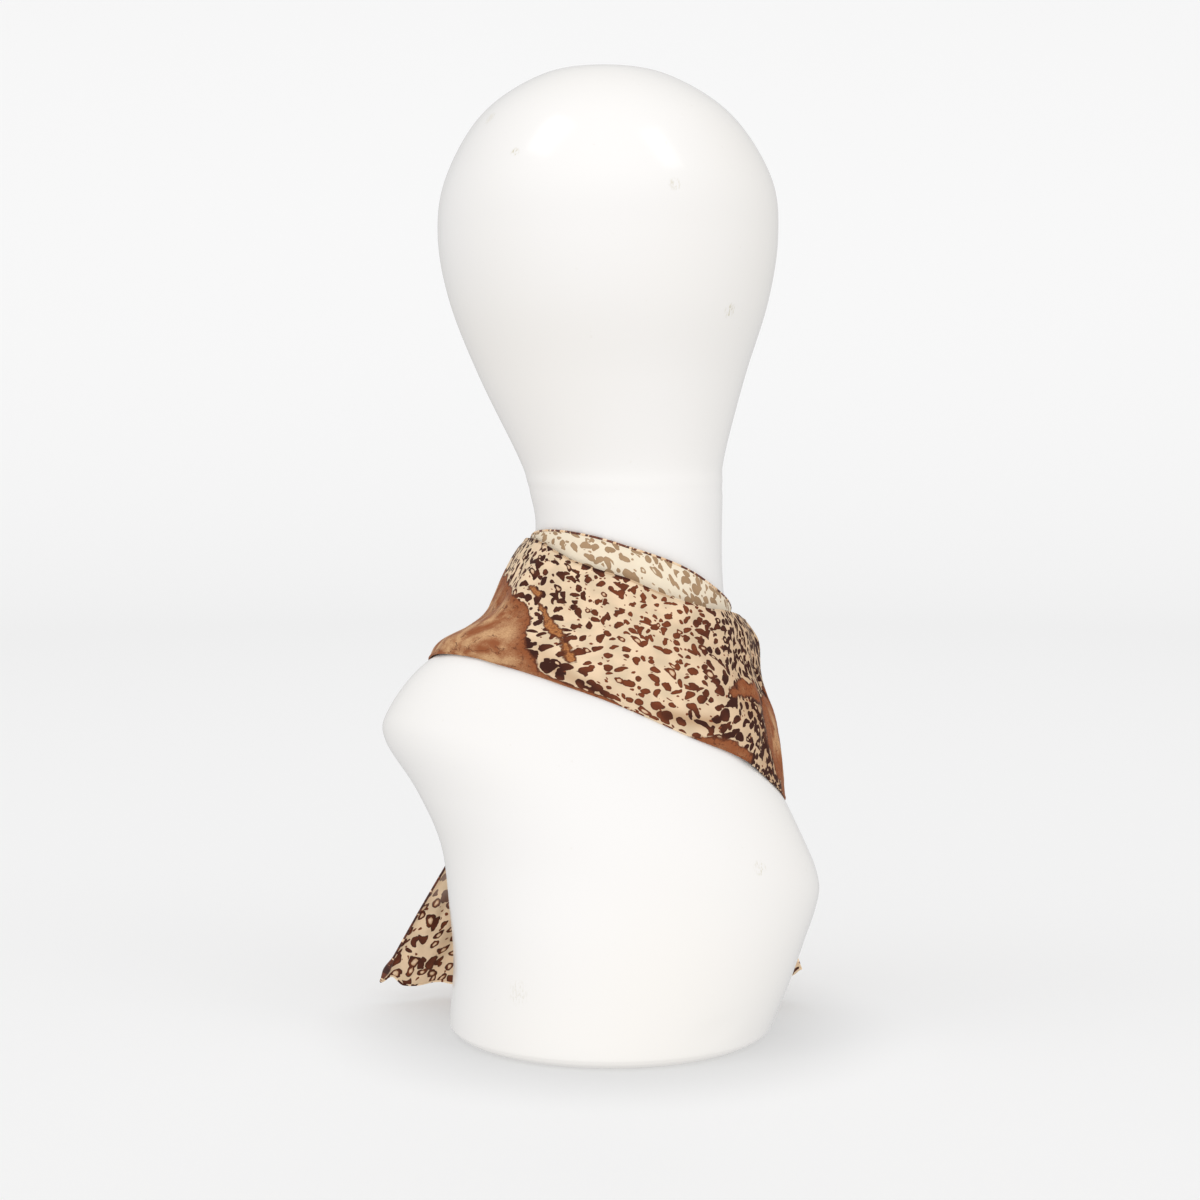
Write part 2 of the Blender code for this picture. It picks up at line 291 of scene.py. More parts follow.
# leftX, leftZ, rightX, rightZ, halfDepth, midY, foreDrop from the base to the crown
formTable = [
    (-79.5, 0.0, 79.5, 0.0, 79.5, 0, 0),
    (-84.8, 3.5, 84.6, 3.5, 84.6, 0, 0),
    (-85.4, 10.0, 87.2, 9.0, 85.4, 0, 0),
    (-83.6, 38.0, 95.8, 30.0, 82.5, 0, 0),
    (-85.6, 66.0, 102.4, 49.0, 78.5, 0, 2),
    (-90.0, 100.0, 108.0, 64.5, 74.0, 1, 5),
    (-102.6, 128.7, 110.4, 76.0, 70.0, 1, 10),
    (-119.0, 155.0, 108.6, 86.0, 65.5, 1, 16),
    (-117.6, 170.5, 104.4, 96.5, 62.5, 1, 19),
    (-98.9, 194.2, 93.3, 119.5, 57.5, 0, 22),
    (-68.5, 212.0, 77.5, 149.0, 51.0, -1, 21),
    (-49.0, 236.0, 64.6, 189.0, 47.0, -2, 15),
    (-39.6, 266.0, 58.4, 241.0, 45.5, -3, 7),
    (-43.4, 290.0, 58.2, 287.0, 46.5, -2, 1),
    (-48.6, 305.0, 59.2, 305.0, 51.0, 2, 0),
    (-69.0, 346.3, 70.0, 346.3, 70.0, 8, 0),
    (-84.4, 385.5, 82.0, 385.5, 86.0, 9, 0),
    (-90.3, 420.0, 86.9, 420.0, 91.0, 8, 0),
    (-85.6, 450.0, 82.8, 450.0, 87.5, 6, 0),
    (-66.5, 482.0, 61.5, 482.0, 66.5, 4, 0),
    (-35.5, 502.0, 28.5, 502.0, 33.0, 3, 0),
]


# The form: a loft through its rings, with a shallow level groove at the nape and one faint dent near the base
def buildForm(sizes):
    rings = asRings(formTable)
    crown = np.array([sizes["crownX"], sizes["height"], 0, 0, 0, sizes["crownY"], 0])
    pastCrown = rings[-1] * (1, 1, -1, -1, -1, 1, -1)
    rings = np.vstack([rings, crown, pastCrown])
    steps = np.linspace(0, len(formTable) - sizes["shortOfCrown"], sizes["rings"])
    angles = roundAngles(sizes["around"])[None, :]
    here = betweenRows(rings, steps)[:, None]
    plain = onRing(here, angles)
    groove = np.exp(-((plain[..., 2] - sizes["neckCreaseAt"]) / sizes["neckCreaseWidth"]) ** 2)
    dent = softBump(fromAngle(angles, sizes["dentAngle"]), sizes["dentReach"])
    dent = dent * softBump(plain[..., 2] - sizes["dentAt"], sizes["dentHeight"])
    points = onRing(here, angles, -sizes["neckCreaseDepth"] * groove - sizes["dentDepth"] * dent)
    plan = planOf(sizes["girth"] * angles, plain[:, :1, 2], sizes["girth"] * 2 * np.pi)
    poles = ((0, 0, 0), (sizes["crownX"], sizes["crownY"], sizes["height"]))
    return gridPiece("form_shell", points, plan, tube=True, poles=poles)


glossFinish = {
    "white": tint(251, 249, 247), "warm": tint(249, 244, 235), "scuff": tint(196, 186, 150),
    "roughness": 0.2, "waviness": 0.02,
}
# Where the moulding is marked, in metres: x, y, z, reach, and how strong the mark is
scuffTable = [
    (-0.0614, -0.0312, 0.4773, 0.0045, 0.60), (-0.0478, -0.0630, 0.4583, 0.0032, 0.75),
    (0.0310, -0.0769, 0.4419, 0.0040, 0.50), (0.0595, -0.0476, 0.3802, 0.0050, 0.75),
    (0.0761, -0.0489, 0.0966, 0.0048, 0.65), (-0.0474, -0.0663, 0.0356, 0.0080, 0.22),
    (-0.0560, 0.0540, 0.0900, 0.0050, 0.40), (0.0400, 0.0900, 0.4300, 0.0036, 0.40),
]


# White gloss: two whites in large soft clouds, ragged scuffs at the table's places, fine dust, and a slow ripple
def glossPlastic(name, look):
    material, shader, place = newFinish(name, {"IOR": 1.46, "Coat Weight": 0.25, "Coat Roughness": 0.06})
    large = place.noise(6.0, 1.0).step(0.35, 0.75)
    colour = place.mix(large * 0.45, look["white"], look["warm"])
    streaks = place.node(
        "ShaderNodeMapping", {}, {"Vector": place, "Scale": (900, 900, 260), "Rotation": (0.5, 0.3, 0)})
    ragged = streaks.noise(1.0, 3.0, 0.7).step(0.48, 0.62)
    marks = None
    for x, y, z, reach, strong in scuffTable:
        away = place.vector("DISTANCE", place, (x, y, z), 1)
        mark = (1 - away.step(reach * 0.3, reach)) * strong
        marks = mark if marks is None else marks + mark
    marks = marks * ragged
    colour = place.mix(marks, colour, look["scuff"])
    dust = place.noise(320.0, 2.0).step(0.72, 0.8) * 0.08
    colour = place.mix(dust, colour, look["scuff"])
    rough = place.noise(18.0, 2.0) * 0.08 + (look["roughness"] - 0.04) + marks * 0.3
    ripple = place.noise(22.0, 1.0) + place.noise(1400.0, 1.0) * 0.004
    feed(shader, **{"Base Color": colour, "Roughness": rough, "Normal": ripple.bump(0.25, look["waviness"])})
    return material


form = buildForm(formSizes)
form.data.materials.append(glossPlastic("gloss_white", glossFinish))
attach(form, "root")
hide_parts("display_form")
print("form built")

# The print of the silk: sizes in mm on the flat cloth. tan is the ground's colour under painted shade
printLook = {
    "cream": tint(250, 222, 188), "peach": tint(240, 200, 155), "stone": tint(230, 207, 175),
    "tan": tint(205, 170, 134), "dark": tint(62, 25, 13), "brown": tint(128, 64, 34),
    "core": tint(206, 150, 104), "faded": tint(168, 146, 132), "gold": tint(206, 142, 82),
    "cognac": tint(154, 88, 50), "cognacLight": tint(220, 176, 130), "cognacLine": tint(92, 44, 24),
    "pitch": 6.8, "uneven": 0.78, "long": 2.65, "short": 1.7, "size": 1.0, "bend": 0.9, "missing": 0.06,
    "smallLong": 0.6, "smallShort": 0.66, "smallBend": 1.2, "smallMissing": 0.42,
    "dotPitch": 0.42, "dotLong": 0.72, "dotShort": 0.6, "dotShare": 0.18,
    "ringShare": 0.12, "ringFrom": 0.52, "rimShare": 0.5,
    "crowdSwell": 0.32, "toneSwell": 0.05, "wanders": ((0.09, 4.5), (0.38, 1.7)), "threadGap": 0.42,
}
reverseLook = dict(
    printLook, cream=tint(255, 242, 218), peach=tint(255, 236, 208), stone=tint(253, 238, 214),
    tan=tint(248, 228, 198),
    dark=tint(168, 136, 103), brown=tint(190, 157, 122), core=tint(232, 210, 182), pitch=6.6,
)
tailLook = dict(
    printLook, core=tint(196, 148, 102), brown=tint(118, 58, 30), pitch=8.8, ringShare=0.62, ringFrom=0.6,
    size=1.4, long=2.35, short=1.75, rimShare=0.9,
)


# A layer of spots: round each of the two nearest points of an uneven grid one ellipse, turned, stretched and
# bent by that point's own chances, so that no spot is cut off where its cell ends. Gives how far out a place
# is, 1 at a spot's rim, the same for the nearest point alone, the way along its spot, and its chance.
def spotLayer(place, pitch, uneven, long, short, bend, missing=0.0):
    outs, alongs, chances = [], [], []
    for feature in ("F1", "F2"):
        cell = place.node(
            "ShaderNodeTexVoronoi", {"voronoi_dimensions": "2D", "feature": feature},
            {"Vector": place, "Scale": 1 / pitch, "Randomness": uneven}, 1,
        )
        one = place.node("ShaderNodeSeparateColor", {}, {0: cell})
        two, three = one.out("Green"), one.out("Blue")
        offset = place.vector("SUBTRACT", place, cell.out("Position"))
        turned = place.node(
            "ShaderNodeVectorRotate", {"rotation_type": "Z_AXIS"}, {"Vector": offset, "Angle": one * 2.6 - 1.9}
        )
        x = turned.axes()
        y = x.out("Y")
        x = x / (long * 0.6 + two * long * 0.8)
        y = y / (short * 0.7 + three * short * 0.6) + (x * x - 0.35) * ((two - 0.25) * bend)
        out = place.math("SQRT", x * x + y * y)
        outs.append(out + place.math("LESS_THAN", place.math("FRACT", one * 7.0 + two * 3.0), missing) * 9.0)
        alongs.append(x)
        chances.append(one)
    return place.math("MINIMUM", *outs), outs[0], alongs[0], chances[0]


# A value that a piece's mesh carries, by its name
def carried(place, name):
    return place.node("ShaderNodeAttribute", {"attribute_name": name}).out("Fac")


# Mottled cognac laid over a colour where the patch value is above 0: two tones in clouds and speckle, gold where
# the gold value says so, thin dark cracks in its middle, dark mottling near its border and a line along it
def cognacOver(place, look, colour):
    depth, gold = carried(place, "patch"), carried(place, "gold")
    edge = depth + (place.noise(0.34, 3.0, 0.6) - 0.5) * 4.4 + (place.noise(0.07, 1.0) - 0.5) * 9.0
    inside = edge.step(-0.12, 0.18)
    line = (1 - place.math("ABSOLUTE", edge - 0.2).step(0.3, 1.0)) * place.noise(0.2, 1.0).step(0.24, 0.44)
    cloud = place.noise(0.075, 2.0, 0.55).step(0.28, 0.72) * (depth + 4).step(2.0, 17.0)
    speckle = place.noise(1.1, 3.0, 0.75)
    pale = (cloud * 0.9 + (speckle - 0.5) * (cloud * 1.5 + 0.4)).step(0.0, 1.05)
    cognac = place.mix(pale, look["cognac"], look["cognacLight"])
    golden = place.mix(speckle.step(0.35, 0.7), look["gold"], look["cognac"])
    cognac = place.mix(gold.step(0.2, 0.9) * 0.8, cognac, golden)
    crack = place.math("ABSOLUTE", place.noise(0.07, 4.0, 0.55) - 0.47)
    crack = (1 - crack.step(0.004, 0.014)) * depth.step(3.0, 6.0) * place.noise(0.11, 1.0).step(0.44, 0.56)
    cognac = place.mix(crack * 0.8, cognac, look["cognacLine"])
    mottle = place.noise(0.5, 3.0, 0.7).step(0.52, 0.64) * (1 - depth.step(3.0, 9.0))
    cognac = place.mix(mottle * 0.7, cognac, look["cognacLine"])
    colour = place.mix(inside, colour, cognac)
    return place.mix(line * 0.8, colour, look["cognacLine"])


# Animal spots on cream: a layer of ovals, beans and a few open rings, a layer of smaller ones that join them into
# commas and chains, and a layer of dots. A spot's rim is darker than its middle. crowdAndShade makes spots larger and
# darker and
# the ground tan: a denser print and painted shade. tone makes them redder, faded greys them, patches adds the cognac.
def silkPrint(name, look, patches=True):
    material, shader, objectPlace = newFinish(name, {
        "Specular IOR Level": 0.18, "Sheen Weight": 0.06, "Sheen Roughness": 0.45,
        "Sheen Tint": tint(250, 232, 210),
    })
    place = objectPlace.node("ShaderNodeUVMap", {"uv_map": "clothMap"})
    moved = place
    for scale, reach in look["wanders"]:
        shift = place.noise(scale, 1.0).out("Color")
        shift = place.vector("SUBTRACT", shift, (0.5, 0.5, 0.5))
        moved = place.vector("ADD", moved, place.vector("MULTIPLY", shift, (reach, reach, 0.0)))
    pitch, long, short = look["pitch"], look["long"] * look["size"], look["short"] * look["size"]
    crowdAndShade, tone = carried(place, "crowdAndShade"), carried(place, "tone")
    swell = crowdAndShade * look["crowdSwell"] + (1 - tone) * look["toneSwell"]
    out, first, along, chance = spotLayer(
        moved, pitch, look["uneven"], long, short, look["bend"], look["missing"])
    spot = 1 - (out - swell).step(0.93, 1.05)
    ringed = chance.step(1 - look["ringShare"] - 0.001, 1 - look["ringShare"] + 0.001)
    ring = first + place.math("ABSOLUTE", along - 0.18) * 0.35
    hollow = (1 - ring.step(look["ringFrom"], look["ringFrom"] + 0.14)) * ringed
    beside = place.vector("ADD", moved, (37.3, 18.9, 0.0))
    smallOut, _, _, _ = spotLayer(
        beside, pitch, 1.0, long * look["smallLong"], short * look["smallShort"],
        look["smallBend"], look["smallMissing"])
    smallSpot = 1 - (smallOut - swell * 1.3).step(0.91, 1.05)
    dotOut, _, _, dotChance = spotLayer(
        moved, pitch * look["dotPitch"], 1.0, look["dotLong"] * look["size"], look["dotShort"] * look["size"], 0.0)
    dotted = dotChance.step(1 - look["dotShare"], 1.01 - look["dotShare"])
    dot = (1 - dotOut.step(0.85, 1.15)) * dotted * out.step(1.2, 1.3)
    grain = place.noise(2.3, 2.0, 0.65)
    ground = place.mix(place.noise(0.09, 1.0).step(0.35, 0.7), look["cream"], look["stone"])
    ground = place.mix((place.noise(0.3, 2.0) + (1 - out) * 0.12).step(0.58, 0.8) * 0.7, ground, look["peach"])
    # Painted shade: where crowdAndShade is high the ground darkens towards tan and the spots darken too
    ground = place.mix(crowdAndShade * 0.6, ground, look["tan"])
    redder = tone * 0.95 + (place.noise(0.12, 1.0) - 0.5) * 1.5 + grain * 0.25 - crowdAndShade * 0.5
    inked = place.mix(redder, look["dark"], look["brown"])
    rim = (place.math("MINIMUM", out, smallOut) - swell).step(0.62, 0.94)
    inked = place.mix(rim * look["rimShare"], inked, look["dark"])
    inked = place.mix(carried(place, "faded"), inked, look["faded"])
    colour = place.mix(place.math("MAXIMUM", spot, smallSpot), ground, inked)
    core = place.mix((grain * 0.5 + 0.6 - first).step(0.1, 0.8), look["core"], look["cream"])
    colour = place.mix(hollow * 0.85, colour, core)
    colour = place.mix(dot, colour, look["brown"])
    if patches:
        colour = cognacOver(place, look, colour)
    gap = 2 * np.pi / look["threadGap"]
    threads = place.axes()
    weave = place.math("SINE", threads * gap) * place.math("SINE", threads.out("Y") * gap)
    shade = (weave * 0.5 + 0.5) * 0.10 + (1 - grain.step(0.3, 0.6)) * 0.08
    colour = place.mix(shade, colour, look["stone"], "MULTIPLY")
    rough = place.noise(0.4, 1.0) * 0.1 + 0.48 + spot * 0.05
    relief = (weave + grain * 1.5).bump(0.35, 0.06)
    feed(shader, **{"Base Color": colour, "Roughness": rough, "Normal": relief})
    return material


# A rolled hem: cream and peach, with dark dashes where the print's spots run over it
def hemFinish(name, look, darkShare):
    material, shader, objectPlace = newFinish(name, {"Specular IOR Level": 0.35, "Sheen Weight": 0.2})
    place = objectPlace.node("ShaderNodeUVMap", {"uv_map": "clothMap"})
    squeezed = place.node("ShaderNodeMapping", {}, {"Vector": place, "Scale": (1.0, 0.35, 1.0)})
    dashes = squeezed.noise(0.33, 2.0, 0.55).step(0.56 - darkShare * 0.24, 0.60 - darkShare * 0.24)
    peach = squeezed.noise(0.5, 1.0).step(0.4, 0.6)
    colour = place.mix(dashes, place.mix(peach, look["cream"], look["peach"]), look["brown"])
    colour = place.mix(dashes.step(0.7, 1.0) * (peach * 0.6 + darkShare * 0.45), colour, look["dark"])
    along = place.axes()
    twist = place.math("SINE", along * 2.1 + along.out("Y") * 1.4)
    rough = place.noise(1.0, 1.0) * 0.1 + 0.5
    feed(shader, **{"Base Color": colour, "Roughness": rough, "Normal": twist.bump(0.5, 0.15)})
    return material


# The outer ply of the wrap
wrapSizes = {
    "around": 528, "up": 88, "wall": 0.5,
    "gather": 0.62, "gatherReach": 1.24, "intoKnot": 8.0, "knotReach": 0.36,
    "hemLift": 0.05, "hemLiftAt": -0.72, "hemDip": 0.035, "hemDipAt": -1.97, "hemReach": 0.5, "edgeSoft": 6,
    "hug": 3.2, "hugHeight": 0.22, "hugAt": -1.6, "hugReach": 1.7,
    "pleats": 3, "pleatRise": 2.3, "finePleats": 8, "fineRise": 0.8,
    "girth": 62.0, "width": 86.0, "hemRadius": 0.55, "foldRadius": 0.5,
    "printFrom": 22.0, "drawnUp": 26.0, "drawnUpAt": -0.38, "drawnUpReach": 0.6,
    "redFrom": (-2.3, -1.3), "redTo": (-1.35, -0.55), "lowerPrint": -4.0, "upperPrint": 84.0,
}
# leftX, leftZ, rightX, rightZ, halfDepth, midY, foreDrop from the lower hem to the upper one
wrapTable = [
    (-96.0, 198.4, 92.2, 124.4, 60.4, 0, 23),
    (-90.2, 206.0, 90.4, 138.0, 60.6, 0, 22.5),
    (-76.0, 213.5, 88.1, 154.5, 60.4, 0, 21),
    (-66.0, 221.0, 84.2, 170.0, 59.6, 0, 19),
    (-60.6, 231.0, 79.0, 184.5, 58.0, 0, 16.5),
    (-55.5, 243.0, 76.8, 197.5, 56.0, -1, 13.5),
    (-50.2, 253.5, 75.2, 209.0, 54.0, -1, 11),
    (-44.6, 261.5, 70.0, 218.5, 52.4, -1, 9),
]
# Wide soft ridges: degrees at the hem and at the fold, half width in degrees, rise
ridgeTable = [
    (-158, -136, 9, 2.4), (-128, -112, 8, 2.0), (-104, -62, 7, 1.4), (-38, -24, 8, 2.2), (-16, -6, 7, 1.3),
    (10, 4, 8, 1.3), (36, 28, 8, 2.6), (146, 152, 8, 2.6), (172, 176, 8, 2.2),
]
# Creases: from degrees and share of the height, to degrees and share, half width, rise
creaseTable = [
    (-176, 0.10, -168, 0.86, 3.0, 0.8), (-163, 0.25, -149, 0.95, 2.6, -0.8), (-150, 0.12, -140, 0.62, 2.8, 0.6),
    (-141, 0.55, -118, 0.92, 3.4, 0.7), (-122, 0.10, -108, 0.50, 3.2, -0.6), (-103, 0.55, -82, 0.90, 3.8, 0.7),
    (-95, 0.12, -70, 0.42, 3.6, 0.6), (-78, 0.70, -48, 0.94, 3.0, -0.7), (-66, 0.30, -44, 0.62, 3.4, 0.6),
    (-46, 0.85, -22, 0.55, 3.0, 0.9), (-40, 0.40, -20, 0.12, 2.8, 0.8), (-28, 0.78, -8, 0.40, 2.4, -0.9),
    (-20, 0.30, -8, 0.02, 2.2, 0.9), (-36, 0.96, -18, 0.52, 1.5, 0.7), (-30, 0.62, -13, 0.18, 1.4, 0.8),
    (-24, 0.88, -9, 0.30, 1.3, -0.7), (-17, 0.70, -4, 0.10, 1.4, 0.8), (-12, 0.98, -3, 0.66, 1.4, 0.7),
    (-44, 0.72, -30, 0.38, 1.6, 0.6), (-33, 0.30, -22, 0.04, 1.4, 0.6), (-178, 0.92, -160, 0.62, 1.6, -0.6),
    (-170, 0.62, -152, 0.34, 1.8, 0.5), (-8, 0.95, 2, 0.50, 2.6, 0.9), (4, 0.40, 16, 0.08, 2.6, 0.8),
    (14, 0.90, 34, 0.60, 2.8, 1.0), (20, 0.35, 44, 0.42, 2.6, -0.9), (30, 0.15, 58, 0.34, 2.4, 1.0),
    (38, 0.75, 62, 0.58, 2.2, 1.0), (124, 0.62, 150, 0.82, 2.4, 1.0), (120, 0.36, 148, 0.22, 2.6, 0.9),
    (128, 0.48, 158, 0.52, 2.4, -0.9), (146, 0.06, 164, 0.36, 2.8, 0.9), (158, 0.60, 176, 0.92, 2.6, 0.8),
]
# Mottled cognac on the wrap, as strokes: from degrees and share to degrees and share, radius at each end,
# and its kind: 0 plain, 1 golden
patchTable = [
    (-180, 0.42, -153, 0.25, 27, 30, 0), (-153, 0.25, -132, 0.05, 30, 21, 0), (168, 0.24, -180, 0.42, 20, 27, 0),
    (150, 0.05, 168, 0.24, 12, 20, 0), (-132, 0.0, -108, 0.0, 12, 6.5, 0), (-108, 0.0, -88, -0.02, 6.5, 3.0, 0),
    (-137, 0.665, -132, 0.645, 1.6, 2.2, 1), (-130, 0.57, -117, 0.42, 0.7, 2.0, 1),
    (-117, 0.42, -104, 0.23, 2.0, 1.1, 1), (-58, 0.0, -42, 0.01, 3.6, 5.2, 0), (-39, 0.41, -31, 0.44, 4.2, 5.0, 0),
    (-17, 0.40, -17, 0.25, 8, 12, 0), (-17, 0.25, -6, 0.05, 12, 8, 0), (-8, 0.12, 18, 0.0, 10, 9, 0),
    (-12, 0.52, 2, 0.34, 2, 5, 0), (2, 0.34, 12, 0.12, 5, 9, 0), (176, 0.60, 164, 0.70, 8, 2, 0),
    (170, 0.12, -150, 0.06, 12, 14, 0), (-46, 0.36, -38, 0.40, 1.6, 3.4, 0),
    (18, 0.0, 44, -0.02, 7, 4, 0), (44, -0.02, 66, -0.03, 4, 3, 0), (118, -0.02, 140, 0.0, 3.5, 6, 0),
    (140, 0.0, 150, 0.05, 6, 12, 0),
]
# Where the print's spots crowd together, as strokes of the same form; the last value is how much
crowdTable = [
    (-110, 0.14, -92, 0.07, 4, 4, 1.1), (-121, 0.27, -107, 0.17, 3.5, 4, 0.8),
    (-168, 1.0, -75, 1.0, 1.3, 1.2, 1.3), (-72, 0.09, -54, 0.15, 4, 3.5, 1.6),
    (-38, 0.34, -22, 0.06, 5, 6, 0.7), (-128, 0.72, -116, 0.62, 6, 5, 0.35), (30, 0.40, 60, 0.50, 8, 6, 0.4),
    (120, 0.50, 150, 0.40, 8, 8, 0.4), (-60, 0.64, -38, 0.34, 16, 14, 0.4),
]
# Whole sides of the wrap where the spots crowd and painted shade darkens the ground: middle and half width in radians,
# how much
crowdedShadedSides = [(-0.25, 1.0, 1.25), (np.pi, 0.5, 0.35)]
# Where the cloth is drawn in along its length: middle in degrees, half width, extra mm of cloth
drawnTable = [(-160, 18, 22.0), (-22, 26, 58.0), (22, 20, 10.0), (66, 22, 14.0), (114, 22, 14.0), (150, 20, 10.0)]
# Where the print leans along the cloth from the hem to the fold: middle in degrees, half width in radians, mm
leanTable = [(-12, 0.75, 34.0), (-170, 0.6, -12.0)]
# How far the upper edge lies below the table's last row at the nape: degrees, share of the height
edgeTable = [
    (-170, 0.0), (-156, 0.01), (-140, 0.045), (-132, 0.075), (-123, 0.11), (-108, 0.12), (-92, 0.11),
    (-82, 0.135), (-68, 0.13), (-52, 0.10), (-40, 0.04), (-26, 0.0),
]


# Height on the table, a straight mix by share of a low line and a high one that come together towards the knot.
# The low line, the hem, rises at one side and dips at the other; the high one, the fold, drops by the edge table.
def wrapHeight(angles, share, sizes):
    gather = sizes["gather"] * softBump(fromAngle(angles, front), sizes["gatherReach"])
    low = 0.5 * gather + sizes["hemLift"] * softBump(fromAngle(angles, sizes["hemLiftAt"]), sizes["hemReach"])
    low = low - sizes["hemDip"] * softBump(fromAngle(angles, sizes["hemDipAt"]), sizes["hemReach"])
    drop = np.interp(np.degrees(angles), *np.array(edgeTable, float).T)
    turns = range(-sizes["edgeSoft"], sizes["edgeSoft"] + 1)
    high = 1 - 0.5 * gather - sum(np.roll(drop, turn, axis=-1) for turn in turns) / len(turns)
    return low + (high - low) * share


# Distance in mm of each point of the cloth from a stroke on it, and how far along the stroke it is
def fromStroke(angles, share, stroke, sizes):
    startAngle, startShare, endAngle, endShare = stroke
    across = sizes["width"]
    runX = float(fromAngle(np.radians(endAngle), np.radians(startAngle))) * sizes["girth"]
    runY = (endShare - startShare) * across
    x = fromAngle(angles, np.radians(startAngle)) * sizes["girth"]
    y = (share - startShare) * across
    part = np.clip((x * runX + y * runY) / (runX ** 2 + runY ** 2), 0, 1)
    return np.hypot(x - part * runX, y - part * runY), part


# Rise off the plain ring, all of it added up: cosine pleats and sharp fine ones that gather at the knot, wide
# ridges that slant, small creases as bells across their strokes, and a bulge into the knot. At the nape the
# cloth near its hem is drawn in to lie close to the form.
def wrapRise(angles, share, sizes):
    pull = softBump(fromAngle(angles, front), sizes["gatherReach"])
    rise = sizes["pleatRise"] * pull * (1 - np.cos(2 * np.pi * sizes["pleats"] * share))
    fine = np.abs(np.sin(np.pi * sizes["finePleats"] * share + 0.9 * np.sin(2.3 * fromAngle(angles, front))))
    rise = rise + sizes["fineRise"] * pull ** 0.7 * (1 - fine) ** 1.5
    for hemAt, foldAt, halfWidth, height in ridgeTable:
        middle = np.radians(hemAt + (foldAt - hemAt) * share)
        crest = softBump(fromAngle(angles, middle), np.radians(halfWidth))
        rise = rise + height * np.sin(np.pi * (0.1 + 0.8 * share)) * crest
    for *stroke, halfWidth, height in creaseTable:
        away, part = fromStroke(angles, share, stroke, sizes)
        rise = rise + height * np.exp(-((away / halfWidth) ** 2)) * np.sin(np.pi * (0.12 + 0.76 * part))
    behindKnot = softBump(fromAngle(angles, front), sizes["knotReach"])
    rise = rise + sizes["intoKnot"] * behindKnot * np.sin(np.pi * share) ** 0.6
    low = np.clip(1 - share / sizes["hugHeight"], 0, 1) ** 2
    return rise - sizes["hug"] * low * softBump(fromAngle(angles, sizes["hugAt"]), sizes["hugReach"]) ** 0.5


# How deep each point is inside the nearest stroke, in mm, and whether that stroke is gold
def patchDepth(angles, share, sizes):
    depth, gold = -40.0, 0.0
    for *stroke, startRadius, endRadius, golden in patchTable:
        away, part = fromStroke(angles, share, stroke, sizes)
        here = startRadius + (endRadius - startRadius) * part - away
        gold = np.where(here > depth, golden, gold)
        depth = np.maximum(depth, here)
    return depth, gold


# How crowded the spots are at each point, and how much painted shade darkens the ground: a soft bump for each whole
# side, and a bell across each stroke
def crowdingAndShade(angles, share, sizes):
    crowd = 0.0
    for middle, half, much in crowdedShadedSides:
        crowd = crowd + much * softBump(fromAngle(angles, middle), half)
    for *stroke, startRadius, endRadius, much in crowdTable:
        away, part = fromStroke(angles, share, stroke, sizes)
        crowd = crowd + much * np.exp(-((away / (startRadius + (endRadius - startRadius) * part)) ** 2))
    return crowd


# The cloth's length in mm up to each angle: its middle row's own length, more where it is drawn in, and the
# print's lean. Also the length all round. It begins and ends at the front, behind the knot.
def clothAlong(row, angles, share, sizes):
    steps = np.linalg.norm(np.roll(row, -1, axis=0) - row, axis=1)
    length = np.append(0.0, np.cumsum(steps))
    along = length[None, :-1]
    for middle, half, extra in drawnTable:
        start, end = np.radians(middle - half), np.radians(middle + half)
        along = along + extra * (softStep(angles, start, end) + softStep(angles, start - 2 * np.pi, end - 2 * np.pi))
    along = along - along[:, len(row) // 2] + sizes["printFrom"]
    for middle, half, lean in leanTable:
        along = along + lean * share * softBump(fromAngle(angles, np.radians(middle)), half)
    return along, length[-1] + sum(extra for _, _, extra in drawnTable)


# The outer ply: rings between the table's rows, pushed out by the rise, with a wall and a rolled hem at each edge.
# Near the hem at one side the print is closer, by the square of the share left to the fold.
def buildWrap(sizes):
    rings = asRings(wrapTable)
    angles = roundAngles(sizes["around"])[None, :] - np.pi / 2
    share = np.linspace(0, 1, sizes["up"] + 1)[:, None]
    here = betweenRows(rings, wrapHeight(angles, share, sizes) * (len(rings) - 1))
    points = onRing(here, angles, wrapRise(angles, share, sizes))
    along, closing = clothAlong(points[sizes["up"] // 2], angles, share, sizes)
    closer = softBump(fromAngle(angles, sizes["drawnUpAt"]), sizes["drawnUpReach"])
    closer = sizes["drawnUp"] * (1 - share) ** 2 * closer
    across = share * sizes["width"] - closer
    depth, gold = patchDepth(angles, share, sizes)
    tone = softStep(angles, *sizes["redFrom"]) * (1 - softStep(angles, *sizes["redTo"]))
    values = {"patch": depth, "gold": gold, "tone": tone, "crowdAndShade": crowdingAndShade(angles, share, sizes)}
    cloth = gridPiece("wrap_cloth", points, planOf(along, across, closing), tube=True, values=values)
    giveWall(cloth, sizes["wall"])
    hems = []
    for name, row, radius, start in (
        ("lower", 0, sizes["hemRadius"], sizes["lowerPrint"]), ("upper", -1, sizes["foldRadius"], sizes["upperPrint"]),
    ):
        rim = {key: np.broadcast_to(value, depth.shape)[row] for key, value in values.items()}
        hems.append(rolledHem(
            "wrap_hem_" + name, points[row], radius, along[row], closing, across=start, values=rim))
    return cloth, hems


wrap, wrapHems = buildWrap(wrapSizes)
silk = silkPrint("silk_print", printLook)
for piece in [wrap, *wrapHems]:
    piece.data.materials.append(silk)
print("outer ply built")

# The inner ply, a band that stands higher at the nape
bandSizes = {
    "around": 420, "up": 40, "wall": 0.4, "girth": 52.0, "width": 30.0, "hemRadius": 0.6, "wave": 0.22,
    "lift": 1.4, "liftAt": -1.0, "liftReach": 0.7, "printAt": (190, 120), "printLean": 6,
}
bandTable = [
    (-49.4, 243.0, 67.6, 190.0, 50.4, -2, 15),
    (-43.4, 255.0, 63.8, 208.0, 48.8, -2, 16),
    (-41.9, 262.0, 62.4, 225.5, 48.6, -2, 17),
]


